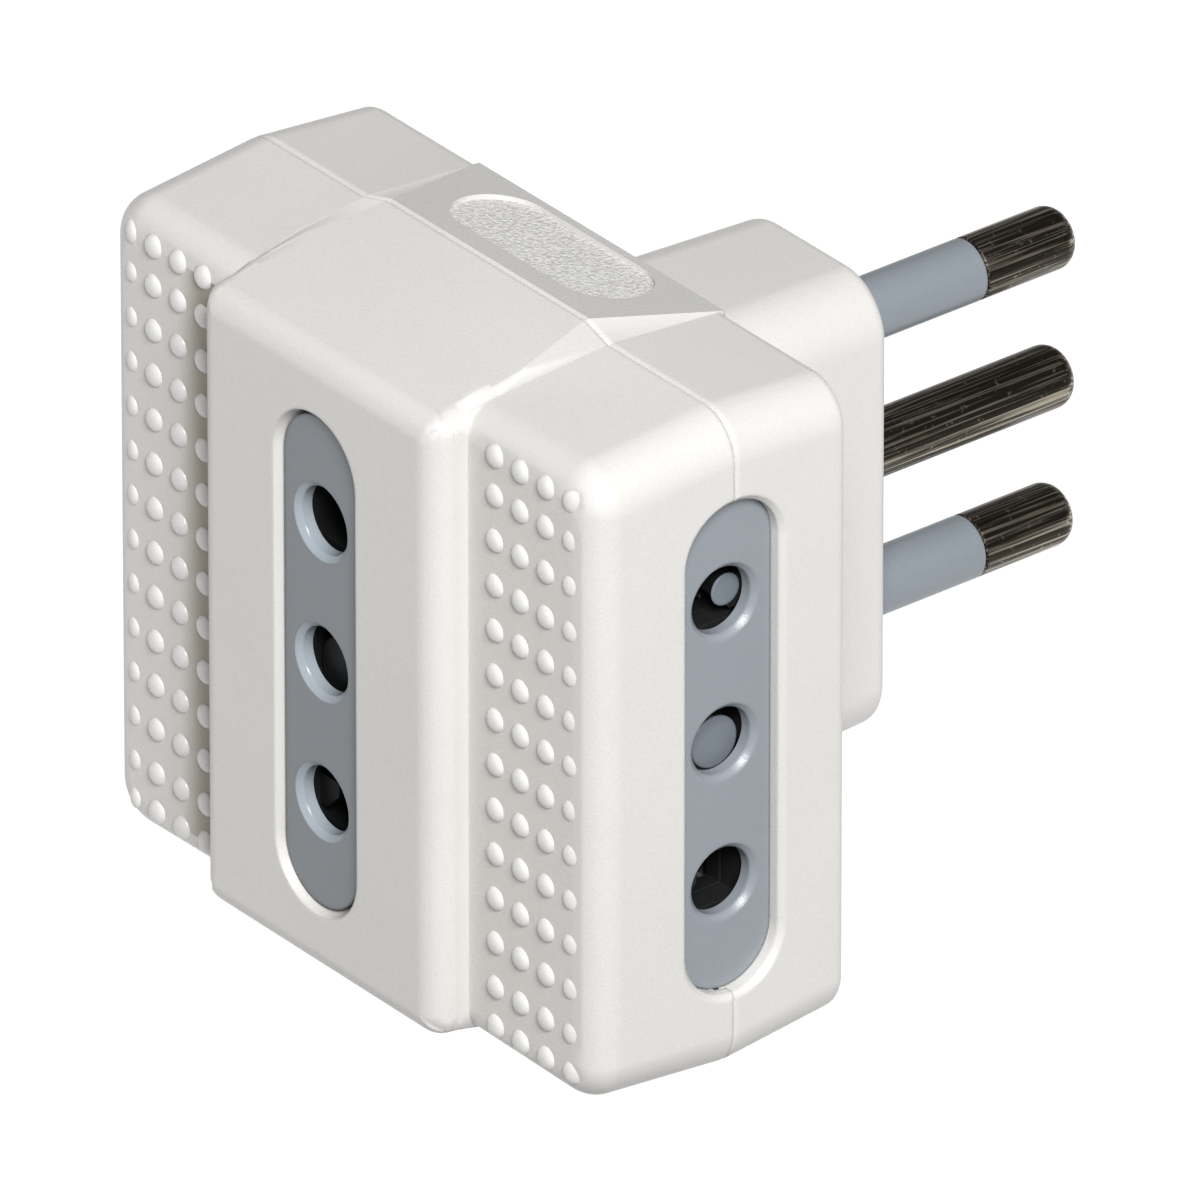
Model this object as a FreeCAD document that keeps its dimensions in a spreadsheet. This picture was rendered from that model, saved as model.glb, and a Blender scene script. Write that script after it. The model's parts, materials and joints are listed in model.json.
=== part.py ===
import FreeCAD, Part
import os
import re
import Sketcher

# Triple in-line socket adapter: two moulded shells, three socket inserts with
# sliding shutters, three plug pins and the brass parts that join them.
# +X to the right socket, -Y to the front socket, +Y along the plug pins, +Z up.
# Everything is modelled about the plane where the two shells meet, and written
# with the root of the earth pin, in the plug's end face, at the origin.

V = FreeCAD.Vector
doc = FreeCAD.newDocument("socket_adapter")
sheet = doc.addObject("Spreadsheet::Sheet", "Sizes")

# Driving dimensions in millimetres and degrees: name, value, what it is.
SIZES = [
    ("half_width", 23.4, "side face from the middle, at the seam"),
    ("seam_height", 22.2, "top face from the middle, at the seam"),
    ("corner", 3.0, "rounding of the housing along Y"),
    ("front_depth", 10.5, "dotted faces in front of the seam"),
    ("rear_depth", 8.6, "back face behind the seam"),
    ("front_drop", 0.92, "fall of the top from the seam to the dotted faces"),
    ("rear_drop", 0.75, "fall of the top from the seam to the back face"),
    ("side_draft", 0.2, "how far each side face leans in over its depth"),
    ("seam_bevel", 0.2, "bevel of both shells along the seam"),
    ("front_edge", 2.2, "rounding of the dotted faces' edges"),
    ("rear_edge", 0.8, "rounding of the back face and the plug's end"),
    ("wall", 1.8, "wall of the shells"),
    ("lip", 1.2, "height of the rear shell's tongue"),
    ("lip_wall", 0.8, "thickness of that tongue"),
    ("fit_gap", 0.05, "clearance of parts that sit in one another"),
    ("block_width", 11.3, "half width of the raised middle block"),
    ("block_depth", 13.1, "front face of the block before the seam"),
    ("block_height", 20.85, "half height of the block's front face"),
    ("block_seam", 22.9, "half height of the block at the seam"),
    ("block_spread", 0.3, "widening of the block from its face to the seam"),
    ("block_edge", 1.8, "rounding of the block's front face"),
    ("shoulder_run", 2.3, "sloped shoulder of the block at the seam, across"),
    ("shoulder_fall", 0.72, "sloped shoulder of the block at the seam, down"),
    ("plug_width", 7.0, "half width of the plug's end"),
    ("plug_height", 15.5, "half height of the plug's end"),
    ("plug_spread", 0.6, "widening of the plug block to the housing"),
    ("plug_corner", 3.8, "rounding of the plug block"),
    ("plug_reach", 24.9, "plug's end face behind the seam"),
    ("plug_wall", 3.0, "end wall that holds the pins"),
    ("slot_width", 3.5, "half width of the opening for an insert"),
    ("slot_length", 16.6, "half length of that opening"),
    ("front_rim", 1.2, "bevel round the front opening, across"),
    ("front_rim_fall", 0.4, "bevel round the front opening, deep"),
    ("side_rim", 0.35, "bevel round a side opening"),
    ("front_plate", 12.6, "front insert's face before the seam"),
    ("side_plate", 22.3, "side insert's face from the middle"),
    ("pole_pitch", 9.5, "distance of the holes and of the pins"),
    ("hole_radius", 2.2, "socket hole"),
    ("hole_lip", 0.35, "bevel of a hole's mouth"),
    ("plate_wall", 1.4, "thickness of an insert's plate"),
    ("hole_wall", 1.1, "thickness of the plate round a hole"),
    ("hole_relief", 2.7, "half width of the thinned squares behind the holes"),
    ("tray_wall", 1.0, "side walls of an insert"),
    ("tray_depth", 4.6, "depth of an insert from its face"),
    ("tray_top", 17.6, "top of an insert from the middle hole"),
    ("tray_foot", 18.8, "foot of an insert from the middle hole"),
    ("guide_wall", 1.2, "plate behind the shutter"),
    ("guide_window", 2.35, "half width of the openings in that plate"),
    ("shutter_gap", 0.1, "play of the shutter in its tray"),
    ("shutter_face", 1.8, "shutter's webs and disc behind the insert's face"),
    ("shutter_wall", 1.5, "thickness of those"),
    ("shutter_rail", 0.9, "width of the shutter's side rails"),
    ("shutter_drop", 1.25, "how far the shutter's disc sits under the hole"),
    ("shutter_foot", 13.2, "lower end of the shutter"),
    ("disc_radius", 2.2, "disc behind the middle hole"),
    ("web_height", 1.3, "cross webs of the shutter"),
    ("tongue_width", 2.3, "tongue before an outer hole"),
    ("tongue_height", 1.8, "height of that tongue"),
    ("spring_reach", 1.7, "shutter spring, half of its width"),
    ("spring_sheet", 0.3, "steel strip of the spring"),
    ("spring_depth", 1.1, "width of that strip"),
    ("pin_radius", 2.0, "plug pin"),
    ("pin_length", 19.0, "plug pin beyond the plug's end face"),
    ("pin_tip", 1.0, "rounding of a pin's tip"),
    ("pin_core", 1.5, "pin under its insulating sleeve"),
    ("pin_seat", 2.3, "root of a pin or of its sleeve in the end wall"),
    ("pin_neck", 1.6, "pin between its collar and its strip"),
    ("sleeve_length", 11.8, "insulating sleeve beyond the end face"),
    ("collar_radius", 2.8, "collar of a pin behind the end wall"),
    ("collar_width", 1.2, "thickness of that collar"),
    ("rivet_radius", 1.2, "riveted end of a pin"),
    ("head_radius", 1.7, "rivet head"),
    ("head_height", 0.7, "rivet head's height"),
    ("strip_wall", 0.8, "sheet of the bus strips"),
    ("strip_half", 2.4, "half width of a bus strip"),
    ("lug_place", 8.0, "front of a strip's riveted lug behind the seam"),
    ("lug_top", 2.4, "top of the lug over the pin's axis"),
    ("clip_grip", 2.05, "half width inside a contact clip"),
    ("clip_wall", 0.5, "sheet of a contact clip"),
    ("clip_length", 7.6, "length of a contact clip"),
    ("clip_start", 5.4, "mouth of a clip behind the insert's face"),
    ("clip_slit", 1.0, "slit along the top of a clip"),
    ("clip_foot", 1.5, "half width of a clip's flat foot"),
    ("foot_drop", 2.9, "underside of a clip's foot from its axis"),
    ("shelf_wall", 1.2, "shelves that part the poles"),
    ("shelf_half", 16.5, "half length of the shelves"),
    ("shelf_front", 1.0, "front edge of the shelves behind the seam"),
    ("dot_radius", 0.8, "raised dot, to its corners"),
    ("dot_height", 0.32, "height of a dot"),
    ("dot_root", 0.75, "depth of a dot's root in the wall"),
    ("dot_first", 13.85, "inner column of dots"),
    ("dot_columns", 2.385, "distance of the columns"),
    ("dot_rows", 3.03, "distance of the rows"),
    ("dot_end_row", 19.3, "first and last row from the middle"),
    ("patch_sink", 0.3, "sunk thumb patch"),
    ("patch_half", 7.9, "half length of the thumb patch, across"),
    ("patch_radius", 3.1, "rounding of its ends"),
    ("patch_place", 4.9, "middle of the thumb patch from the seam"),
]
for row, (name, value, note) in enumerate(SIZES, start=1):
    sheet.set("A%d" % row, name)
    sheet.set("B%d" % row, str(value))
    sheet.set("C%d" % row, note)
    sheet.setAlias("B%d" % row, name)
doc.recompute()
S = {name: value for name, value, note in SIZES}
COLUMNS = 4
INNER_ROWS = 12
DOT_SIDES = 8


def cells(words):
    """Turn a formula in size names into one that reads the sheet."""
    return re.sub(r"[a-z][a-z_]+", lambda m: "Sizes." + m.group() if m.group() in S else m.group(), str(words))


def number(words):
    """Value of the same formula, to place geometry before it is solved."""
    return float(doc.Sizes.evalExpression(cells(words)))


def bind(thing, prop, words):
    thing.setExpression(prop, cells(words))


# Sketches

def new_body(name):
    body = doc.addObject("PartDesign::Body", name)
    body.Label = name
    return body


def new_sketch(body, role, name, offset="0"):
    plane = [f for f in body.Origin.OriginFeatures if f.Role == role][0]
    sketch = body.newObject("Sketcher::SketchObject", name)
    sketch.AttachmentSupport = [(plane, "")]
    sketch.MapMode = "FlatFace"
    bind(sketch, "AttachmentOffset.Base.z", offset)
    return sketch


def bound(sketch, kind, args, words):
    index = sketch.addConstraint(Sketcher.Constraint(kind, *args, number(words)))
    sketch.setExpression("Constraints[%d]" % index, cells(words))


def polygon(sketch, corners):
    """Closed outline through corners given as pairs of formulas."""
    points = [V(number(x), number(y), 0) for x, y in corners]
    count = len(points)
    first = sketch.GeometryCount
    for i in range(count):
        sketch.addGeometry(Part.LineSegment(points[i], points[(i + 1) % count]), False)
    for i in range(count):
        sketch.addConstraint(Sketcher.Constraint("Coincident", first + i, 2, first + (i + 1) % count, 1))
    for i, (x, y) in enumerate(corners):
        bound(sketch, "DistanceX", (-1, 1, first + i, 1), x)
        bound(sketch, "DistanceY", (-1, 1, first + i, 1), y)


def circle(sketch, x, y, radius):
    centre = V(number(x), number(y), 0)
    index = sketch.addGeometry(Part.Circle(centre, V(0, 0, 1), number(radius)), False)
    bound(sketch, "Radius", (index,), radius)
    bound(sketch, "DistanceX", (-1, 1, index, 3), x)
    bound(sketch, "DistanceY", (-1, 1, index, 3), y)


def stadium(sketch, half_width, half_length):
    """Upright slot with round ends, centred on the sketch's origin."""
    w = number(half_width)
    c = number("(%s) - (%s)" % (half_length, half_width))
    right = sketch.addGeometry(Part.LineSegment(V(w, -c, 0), V(w, c, 0)), False)
    top = sketch.addGeometry(Part.ArcOfCircle(Part.Circle(V(0, c, 0), V(0, 0, 1), w), 0, 3.14159265), False)
    left = sketch.addGeometry(Part.LineSegment(V(-w, c, 0), V(-w, -c, 0)), False)
    foot = sketch.addGeometry(Part.ArcOfCircle(Part.Circle(V(0, -c, 0), V(0, 0, 1), w), 3.14159265, 6.2831853), False)
    for a, pa, b, pb in ((right, 2, top, 1), (top, 2, left, 1), (left, 2, foot, 1), (foot, 2, right, 1)):
        sketch.addConstraint(Sketcher.Constraint("Tangent", a, pa, b, pb))
    sketch.addConstraint(Sketcher.Constraint("Vertical", right))
    bound(sketch, "Radius", (top,), half_width)
    bound(sketch, "DistanceX", (-1, 1, top, 3), "0")
    bound(sketch, "DistanceY", (-1, 1, top, 3), "(%s) - (%s)" % (half_length, half_width))
    bound(sketch, "DistanceY", (foot, 3, -1, 1), "(%s) - (%s)" % (half_length, half_width))


def lying_slot(sketch, half_length, radius, place):
    """Slot with round ends that lies across the sketch, at a given height."""
    r, y = number(radius), number(place)
    c = number("(%s) - (%s)" % (half_length, radius))
    turn = 1.57079633
    low = sketch.addGeometry(Part.LineSegment(V(-c, y - r, 0), V(c, y - r, 0)), False)
    right = sketch.addGeometry(Part.ArcOfCircle(Part.Circle(V(c, y, 0), V(0, 0, 1), r), -turn, turn), False)
    high = sketch.addGeometry(Part.LineSegment(V(c, y + r, 0), V(-c, y + r, 0)), False)
    left = sketch.addGeometry(Part.ArcOfCircle(Part.Circle(V(-c, y, 0), V(0, 0, 1), r), turn, 3 * turn), False)
    for a, pa, b, pb in ((low, 2, right, 1), (right, 2, high, 1), (high, 2, left, 1), (left, 2, low, 1)):
        sketch.addConstraint(Sketcher.Constraint("Tangent", a, pa, b, pb))
    sketch.addConstraint(Sketcher.Constraint("Horizontal", low))
    bound(sketch, "Radius", (right,), radius)
    bound(sketch, "DistanceX", (-1, 1, right, 3), "(%s) - (%s)" % (half_length, radius))
    bound(sketch, "DistanceX", (left, 3, -1, 1), "(%s) - (%s)" % (half_length, radius))
    bound(sketch, "DistanceY", (-1, 1, right, 3), place)


def square(sketch, height, half):
    """Square about a point on the sketch's upright axis."""
    low, high = "%s - %s" % (height, half), "%s + %s" % (height, half)
    polygon(sketch, [(half, low), (half, high), ("0 - (%s)" % half, high), ("0 - (%s)" % half, low)])


def rounded(sketch, half_width, half_height, radius):
    """Rectangle with round corners, centred on the sketch's origin."""
    w, h, r = number(half_width), number(half_height), number(radius)
    a, b = w - r, h - r
    turn = 1.57079633
    lines = [((a, -h), (-a, -h)), ((-w, -b), (-w, b)), ((-a, h), (a, h)), ((w, b), (w, -b))]
    centres = [(-a, -b), (-a, b), (a, b), (a, -b)]
    spans = [(2 * turn, 3 * turn), (turn, 2 * turn), (0, turn), (3 * turn, 4 * turn)]
    edges = []
    for start, end in lines:
        edges.append(sketch.addGeometry(Part.LineSegment(V(*start, 0), V(*end, 0)), False))
    arcs = []
    for (x, y), (s, e) in zip(centres, spans):
        arcs.append(sketch.addGeometry(Part.ArcOfCircle(Part.Circle(V(x, y, 0), V(0, 0, 1), r), s, e), False))
    # each arc runs anticlockwise, so it starts on the next line's start
    for i in range(4):
        sketch.addConstraint(Sketcher.Constraint("Tangent", edges[i], 2, arcs[i], 2))
        sketch.addConstraint(Sketcher.Constraint("Tangent", arcs[i], 1, edges[(i + 1) % 4], 1))
    sketch.addConstraint(Sketcher.Constraint("Horizontal", edges[0]))
    sketch.addConstraint(Sketcher.Constraint("Vertical", edges[1]))
    sketch.addConstraint(Sketcher.Constraint("Horizontal", edges[2]))
    sketch.addConstraint(Sketcher.Constraint("Vertical", edges[3]))
    for i in range(3):
        sketch.addConstraint(Sketcher.Constraint("Equal", arcs[i], arcs[i + 1]))
    bound(sketch, "Radius", (arcs[0],), radius)
    bound(sketch, "DistanceX", (-1, 1, edges[3], 1), half_width)
    bound(sketch, "DistanceX", (edges[1], 1, -1, 1), half_width)
    bound(sketch, "DistanceY", (-1, 1, edges[2], 1), half_height)
    bound(sketch, "DistanceY", (edges[0], 1, -1, 1), half_height)


# Features

def pad(body, sketch, length, reverse=False, middle=False):
    feature = body.newObject("PartDesign::Pad", sketch.Name + "_pad")
    feature.Profile = sketch
    bind(feature, "Length", length)
    feature.Reversed = reverse
    if middle:
        feature.SideType = "Symmetric"
    return feature


def pocket(body, sketch, length, reverse=False, middle=False):
    before = body.Shape.Volume
    feature = body.newObject("PartDesign::Pocket", sketch.Name + "_cut")
    feature.Profile = sketch
    bind(feature, "Length", length)
    feature.Reversed = reverse
    if middle:
        feature.SideType = "Symmetric"
    doc.recompute()
    if body.Shape.Volume > before - 1e-6:
        raise RuntimeError(feature.Name + " cuts nothing")
    return feature


def revolve(body, sketch, axis):
    feature = body.newObject("PartDesign::Revolution", sketch.Name + "_turned")
    feature.Profile = sketch
    feature.ReferenceAxis = (sketch, [axis])
    feature.Angle = 360.0
    return feature


def dress(body, kind, edges, prop, size):
    """Fillet or chamfer the tip's edges for which the test holds."""
    base = body.Tip
    names = ["Edge%d" % (i + 1) for i, e in enumerate(base.Shape.Edges) if edges(e)]
    if not names:
        raise RuntimeError("no edges for a dressing of " + body.Name)
    feature = body.newObject("PartDesign::" + kind, "%s_%s" % (body.Name, kind.lower()))
    feature.Base = (base, names)
    bind(feature, prop, size)
    doc.recompute()
    return feature


def flat_at(edge, axis, place):
    """True for an edge that lies wholly in the plane axis = place."""
    box = edge.BoundBox
    low, high = {"x": (box.XMin, box.XMax), "y": (box.YMin, box.YMax), "z": (box.ZMin, box.ZMax)}[axis]
    return abs(low - place) < 1e-3 and abs(high - place) < 1e-3


# Housing

def tapered_box(body, tag, near, far, near_size, far_size):
    """Box along Y, symmetric about the axis, whose sides lean in evenly."""
    (near_w, near_h), (far_w, far_h) = near_size, far_size
    plan = new_sketch(body, "XY_Plane", tag + "_plan")
    polygon(plan, [(near_w, near), (far_w, far), ("0 - (%s)" % far_w, far), ("0 - (%s)" % near_w, near)])
    pad(body, plan, "2 * (%s)" % near_h, middle=True)
    doc.recompute()
    slopes = new_sketch(body, "YZ_Plane", tag + "_slopes")
    for sign in ("", "0 - "):
        above = sign + "(%s + wall)" % near_h
        polygon(slopes, [(near, sign + "(%s)" % near_h), (far, sign + "(%s)" % far_h), (far, above), (near, above)])
    pocket(body, slopes, "3 * (%s)" % near_w, middle=True)


def runs_back(edge):
    """True for the long edges along Y."""
    return edge.BoundBox.YLength > 5


def wings(body, side, tag):
    """Rounded box on one side of the seam, tapering away from it."""
    far = "0 - front_depth" if side < 0 else "rear_depth"
    drop = "front_drop" if side < 0 else "rear_drop"
    tapered_box(body, tag, "0", far, ("half_width", "seam_height"),
                ("half_width - side_draft", "seam_height - " + drop))
    dress(body, "Fillet", runs_back, "Radius", "corner")
    dress(body, "Chamfer", lambda e: flat_at(e, "y", 0), "Size", "seam_bevel")
    face = number(far)
    dress(body, "Fillet", lambda e: flat_at(e, "y", face), "Radius", "front_edge" if side < 0 else "rear_edge")


def middle_block(side, tag):
    """Raised block with sloped shoulders, in front of or behind the seam."""
    block = new_body(tag + "_block")
    seam_width = "block_width + block_spread"
    if side < 0:
        far, far_size = "0 - block_depth", ("block_width", "block_height")
    else:
        far, far_size = "rear_depth", (seam_width, "seam_height - rear_drop")
    tapered_box(block, tag + "_block", "0", far, (seam_width, "block_seam"), far_size)
    for x_sign in (1, -1):
        for z_sign in (1, -1):
            shoulder(block, tag, side, x_sign, z_sign)
    dress(block, "Chamfer", lambda e: flat_at(e, "y", 0), "Size", "seam_bevel")
    if side < 0:
        face = number(far)
        dress(block, "Fillet", lambda e: flat_at(e, "y", face), "Radius", "block_edge")
    return block


def shoulder(block, tag, side, x_sign, z_sign):
    """Sloped facet on one corner of the block, widest at the seam and fading out."""
    name = "%s_shoulder_%s%s" % (tag, "r" if x_sign > 0 else "l", "t" if z_sign > 0 else "b")
    sketch = new_sketch(block, "XZ_Plane", name)
    xs, zs = "%d * " % x_sign, "%d * " % z_sign
    top = "block_seam"
    edge = "(block_width + block_spread)"
    inner, lower = "(%s - shoulder_run)" % edge, "(%s - shoulder_fall)" % top
    high, wide = "(%s + shoulder_fall)" % top, "(%s + shoulder_run)" % edge
    corners = [(inner, top), (edge, lower), (wide, lower), (wide, high), (inner, high)]
    polygon(sketch, [(xs + x, zs + z) for x, z in corners])
    cut = block.newObject("PartDesign::Pocket", name + "_cut")
    cut.Profile = sketch
    cut.UseCustomVector = True
    cut.AlongSketchNormal = False
    # The cut's direction runs from the middle of the facet at the seam to its tip on the corner.
    if side < 0:
        depth = "front_depth"
        tip_x = "block_width + block_spread * (1 - front_depth / block_depth)"
        tip_z = "block_seam - (block_seam - block_height) * front_depth / block_depth"
    else:
        depth = "rear_depth"
        tip_x = edge
        tip_z = "seam_height - rear_drop"
    rise = "((%s) - (%s + %s) / 2)" % (tip_z, top, lower)
    across = "((%s) - (%s + %s) / 2)" % (tip_x, edge, inner)
    cut.Direction = V(x_sign * number(across), side * number(depth), z_sign * number(rise))
    for axis, words in (("x", xs + across), ("y", "%d * %s" % (side, depth)), ("z", zs + rise)):
        bind(cut, "Direction." + axis, words)
    bind(cut, "Length", "sqrt(%s ^ 2 + %s ^ 2 + %s ^ 2)" % (across, rise, depth))
    doc.recompute()


def plug_block():
    """Rounded block that carries the pins."""
    block = new_body("plug_block")
    tapered_box(block, "plug", "rear_depth - wall / 2", "plug_reach",
                ("plug_width + plug_spread", "plug_height + plug_spread"), ("plug_width", "plug_height"))
    dress(block, "Fillet", runs_back, "Radius", "plug_corner")
    end = S["plug_reach"]
    dress(block, "Fillet", lambda e: flat_at(e, "y", end), "Radius", "rear_edge")
    return block


def join(body, tool):
    feature = body.newObject("PartDesign::Boolean", tool.Name + "_joined")
    feature.setObjects([tool])
    feature.Type = "Fuse"
    doc.recompute()


def hollow(body, tag, near, far, half_width, near_height, far_height):
    """Straight-sided space whose top and foot follow the slopes outside."""
    sketch = new_sketch(body, "YZ_Plane", tag + "_hollow")
    polygon(sketch, [(near, near_height), (far, far_height), (far, "0 - (%s)" % far_height),
                     (near, "0 - (%s)" % near_height)])
    pocket(body, sketch, "2 * (%s)" % half_width, middle=True)


def side_openings(body, tag):
    """Round-ended openings in both side faces, with a small bevel outside."""
    through = new_sketch(body, "YZ_Plane", tag + "_side_openings", "half_width")
    stadium(through, "slot_width", "slot_length")
    pocket(body, through, "2 * half_width")
    rim = S["half_width"] - S["side_draft"]
    dress(body, "Chamfer", lambda e: on_side_rim(e, rim), "Size", "side_rim")


def on_side_rim(edge, rim):
    """True for an opening's edge in one of the side faces."""
    box = edge.BoundBox
    outside = abs(box.Center.x) > rim - 0.01
    return outside and abs(box.ZMax) < S["slot_length"] + 0.01 and abs(box.ZMin) < S["slot_length"] + 0.01 \
        and max(abs(box.YMin), abs(box.YMax)) > S["slot_width"] - 0.01 and box.YMin * box.YMax > -0.01


def front_shell():
    body = new_body("front_shell")
    wings(body, -1, "front")
    join(body, middle_block(-1, "front"))
    hollow(body, "front", "0", "0 - (front_depth - wall)", "half_width - side_draft - wall",
           "seam_height - wall", "seam_height - front_drop - wall")
    hollow(body, "front_block", "0", "0 - (block_depth - wall)", "block_width - wall",
           "seam_height - wall", "block_height - wall")
    rebate = new_sketch(body, "XZ_Plane", "lip_rebate", "0")
    rounded(rebate, "half_width - wall + lip_wall + fit_gap", "seam_height - wall + lip_wall + fit_gap",
            "corner - wall + lip_wall")
    pocket(body, rebate, "lip + fit_gap", reverse=True)
    side_openings(body, "front")
    through = new_sketch(body, "XZ_Plane", "front_opening", "block_depth")
    stadium(through, "slot_width", "slot_length")
    pocket(body, through, "2 * wall")
    face = -S["block_depth"]
    inside = S["slot_width"] + 0.01
    rim = dress(body, "Chamfer", lambda e: flat_at(e, "y", face) and abs(e.BoundBox.Center.x) < inside, "Size",
                "front_rim_fall")
    rim.ChamferType = "Two distances"
    bind(rim, "Size2", "front_rim")
    doc.recompute()
    dots(body)
    return body


def dots(body):
    """Raised dots on both wings: even rows, and one closer row at each end."""
    for tag, height in (("rows", "(%d - 1) * dot_rows / 2" % INNER_ROWS), ("ends", "dot_end_row")):
        dot = body.newObject("PartDesign::AdditivePrism", "dot_" + tag)
        plane = [f for f in body.Origin.OriginFeatures if f.Role == "XZ_Plane"][0]
        dot.AttachmentSupport = [(plane, "")]
        dot.MapMode = "FlatFace"
        dot.Polygon = DOT_SIDES
        bind(dot, "AttachmentOffset.Base.x", "dot_first")
        bind(dot, "AttachmentOffset.Base.y", height)
        bind(dot, "AttachmentOffset.Base.z", "front_depth - dot_root")
        bind(dot, "Circumradius", "dot_radius")
        bind(dot, "Height", "dot_root + dot_height")
        doc.recompute()
        repeat = body.newObject("PartDesign::MultiTransform", "dots_" + tag)
        repeat.Originals = [dot]
        steps = []
        steps.append(line_of(body, "X_Axis", tag + "_across", COLUMNS, "dot_columns"))
        if tag == "rows":
            down = line_of(body, "Z_Axis", tag + "_down", INNER_ROWS, "dot_rows")
            down.Reversed = True
            steps.append(down)
        else:
            steps.append(mirror_of(body, "XY_Plane", tag + "_below"))
        steps.append(mirror_of(body, "YZ_Plane", tag + "_left"))
        repeat.Transformations = steps
        body.Tip = repeat
        doc.recompute()


def line_of(body, axis, name, count, pitch):
    """Part of a pattern: copies along an origin axis at an even pitch."""
    line = body.newObject("PartDesign::LinearPattern", name)
    direction = [f for f in body.Origin.OriginFeatures if f.Role == axis][0]
    line.Direction = (direction, [""])
    line.Occurrences = count
    bind(line, "Length", "%d * %s" % (count - 1, pitch))
    return line


def mirror_of(body, plane, name):
    mirror = body.newObject("PartDesign::Mirrored", name)
    target = [f for f in body.Origin.OriginFeatures if f.Role == plane][0]
    mirror.MirrorPlane = (target, [""])
    return mirror


def rear_shell():
    body = new_body("rear_shell")
    wings(body, 1, "rear")
    join(body, middle_block(1, "rear"))
    join(body, plug_block())
    thumb_patch(body, 1)
    thumb_patch(body, -1)
    hollow(body, "rear", "0", "rear_depth - wall", "half_width - side_draft - wall",
           "seam_height - wall", "seam_height - rear_drop - wall")
    height = "plug_height - wall"
    hollow(body, "plug", "rear_depth - 2 * wall", "plug_reach - plug_wall", "plug_width - wall", height, height)
    tongue(body)
    side_openings(body, "rear")
    shelves(body)
    pin_holes(body)
    return body


def tongue(body):
    """Tongue round the seam that the front shell's rebate takes."""
    ring = new_sketch(body, "XZ_Plane", "tongue_outer", "0")
    rounded(ring, "half_width - wall + lip_wall", "seam_height - wall + lip_wall", "corner - wall + lip_wall")
    rounded(ring, "half_width - wall", "seam_height - wall", "corner - wall")
    pad(body, ring, "lip")
    doc.recompute()


def shelves(body):
    """Three shelves from the back wall that part the poles and carry the strips."""
    for i, level in enumerate(("pole_pitch", "0", "0 - pole_pitch")):
        sketch = new_sketch(body, "XZ_Plane", "shelf_%d" % i, "0 - (rear_depth - wall / 2)")
        top = "%s - foot_drop - strip_wall" % level
        low = top + " - shelf_wall"
        inner = "plug_width - wall"
        for side in ("", "0 - "):
            a, b = side + "(%s)" % inner, side + "shelf_half"
            polygon(sketch, [(a, low), (b, low), (b, top), (a, top)])
        pad(body, sketch, "rear_depth - wall / 2 - shelf_front")
        doc.recompute()


def pin_holes(body):
    sketch = new_sketch(body, "XZ_Plane", "pin_holes", "0 - plug_reach")
    for level in ("pole_pitch", "0", "0 - pole_pitch"):
        circle(sketch, "0", level, "pin_seat + fit_gap")
    pocket(body, sketch, "2 * plug_wall", reverse=True)


def thumb_patch(body, side):
    """Shallow sunk patch on the sloping back of the middle block."""
    slope = "(block_seam - seam_height + rear_drop) / rear_depth"
    name = "patch_%s" % ("top" if side > 0 else "foot")
    sketch = new_sketch(body, "XY_Plane", name)
    plane_height = "block_seam - patch_sink"
    sign = "" if side > 0 else "0 - "
    sketch.AttachmentOffset = FreeCAD.Placement(V(0, 0, 0), FreeCAD.Rotation(V(-side, 0, 0), 10))
    bind(sketch, "AttachmentOffset.Base.z", sign + "(%s)" % plane_height)
    bind(sketch, "AttachmentOffset.Rotation.Angle", "atan(%s)" % slope)
    lying_slot(sketch, "patch_half", "patch_radius", "patch_place")
    pocket(body, sketch, "4 * patch_sink", reverse=side > 0)


# Socket pieces, made facing +X with the insert's face at their own origin

PLACES = {
    "front": ("0", "0 - front_plate", -90),
    "right": ("side_plate", "0", 0),
    "left": ("0 - side_plate", "0", 180),
}


def place(body, spot, height="0"):
    x, y, turn = PLACES[spot]
    bind(body, "Placement.Base.x", x)
    bind(body, "Placement.Base.y", y)
    bind(body, "Placement.Base.z", height)
    body.Placement.Rotation = FreeCAD.Rotation(V(0, 0, 1 if turn >= 0 else -1), abs(turn))
    bind(body, "Placement.Rotation.Angle", "%d" % (turn if body.Placement.Rotation.Axis.z > 0 else -turn))


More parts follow.
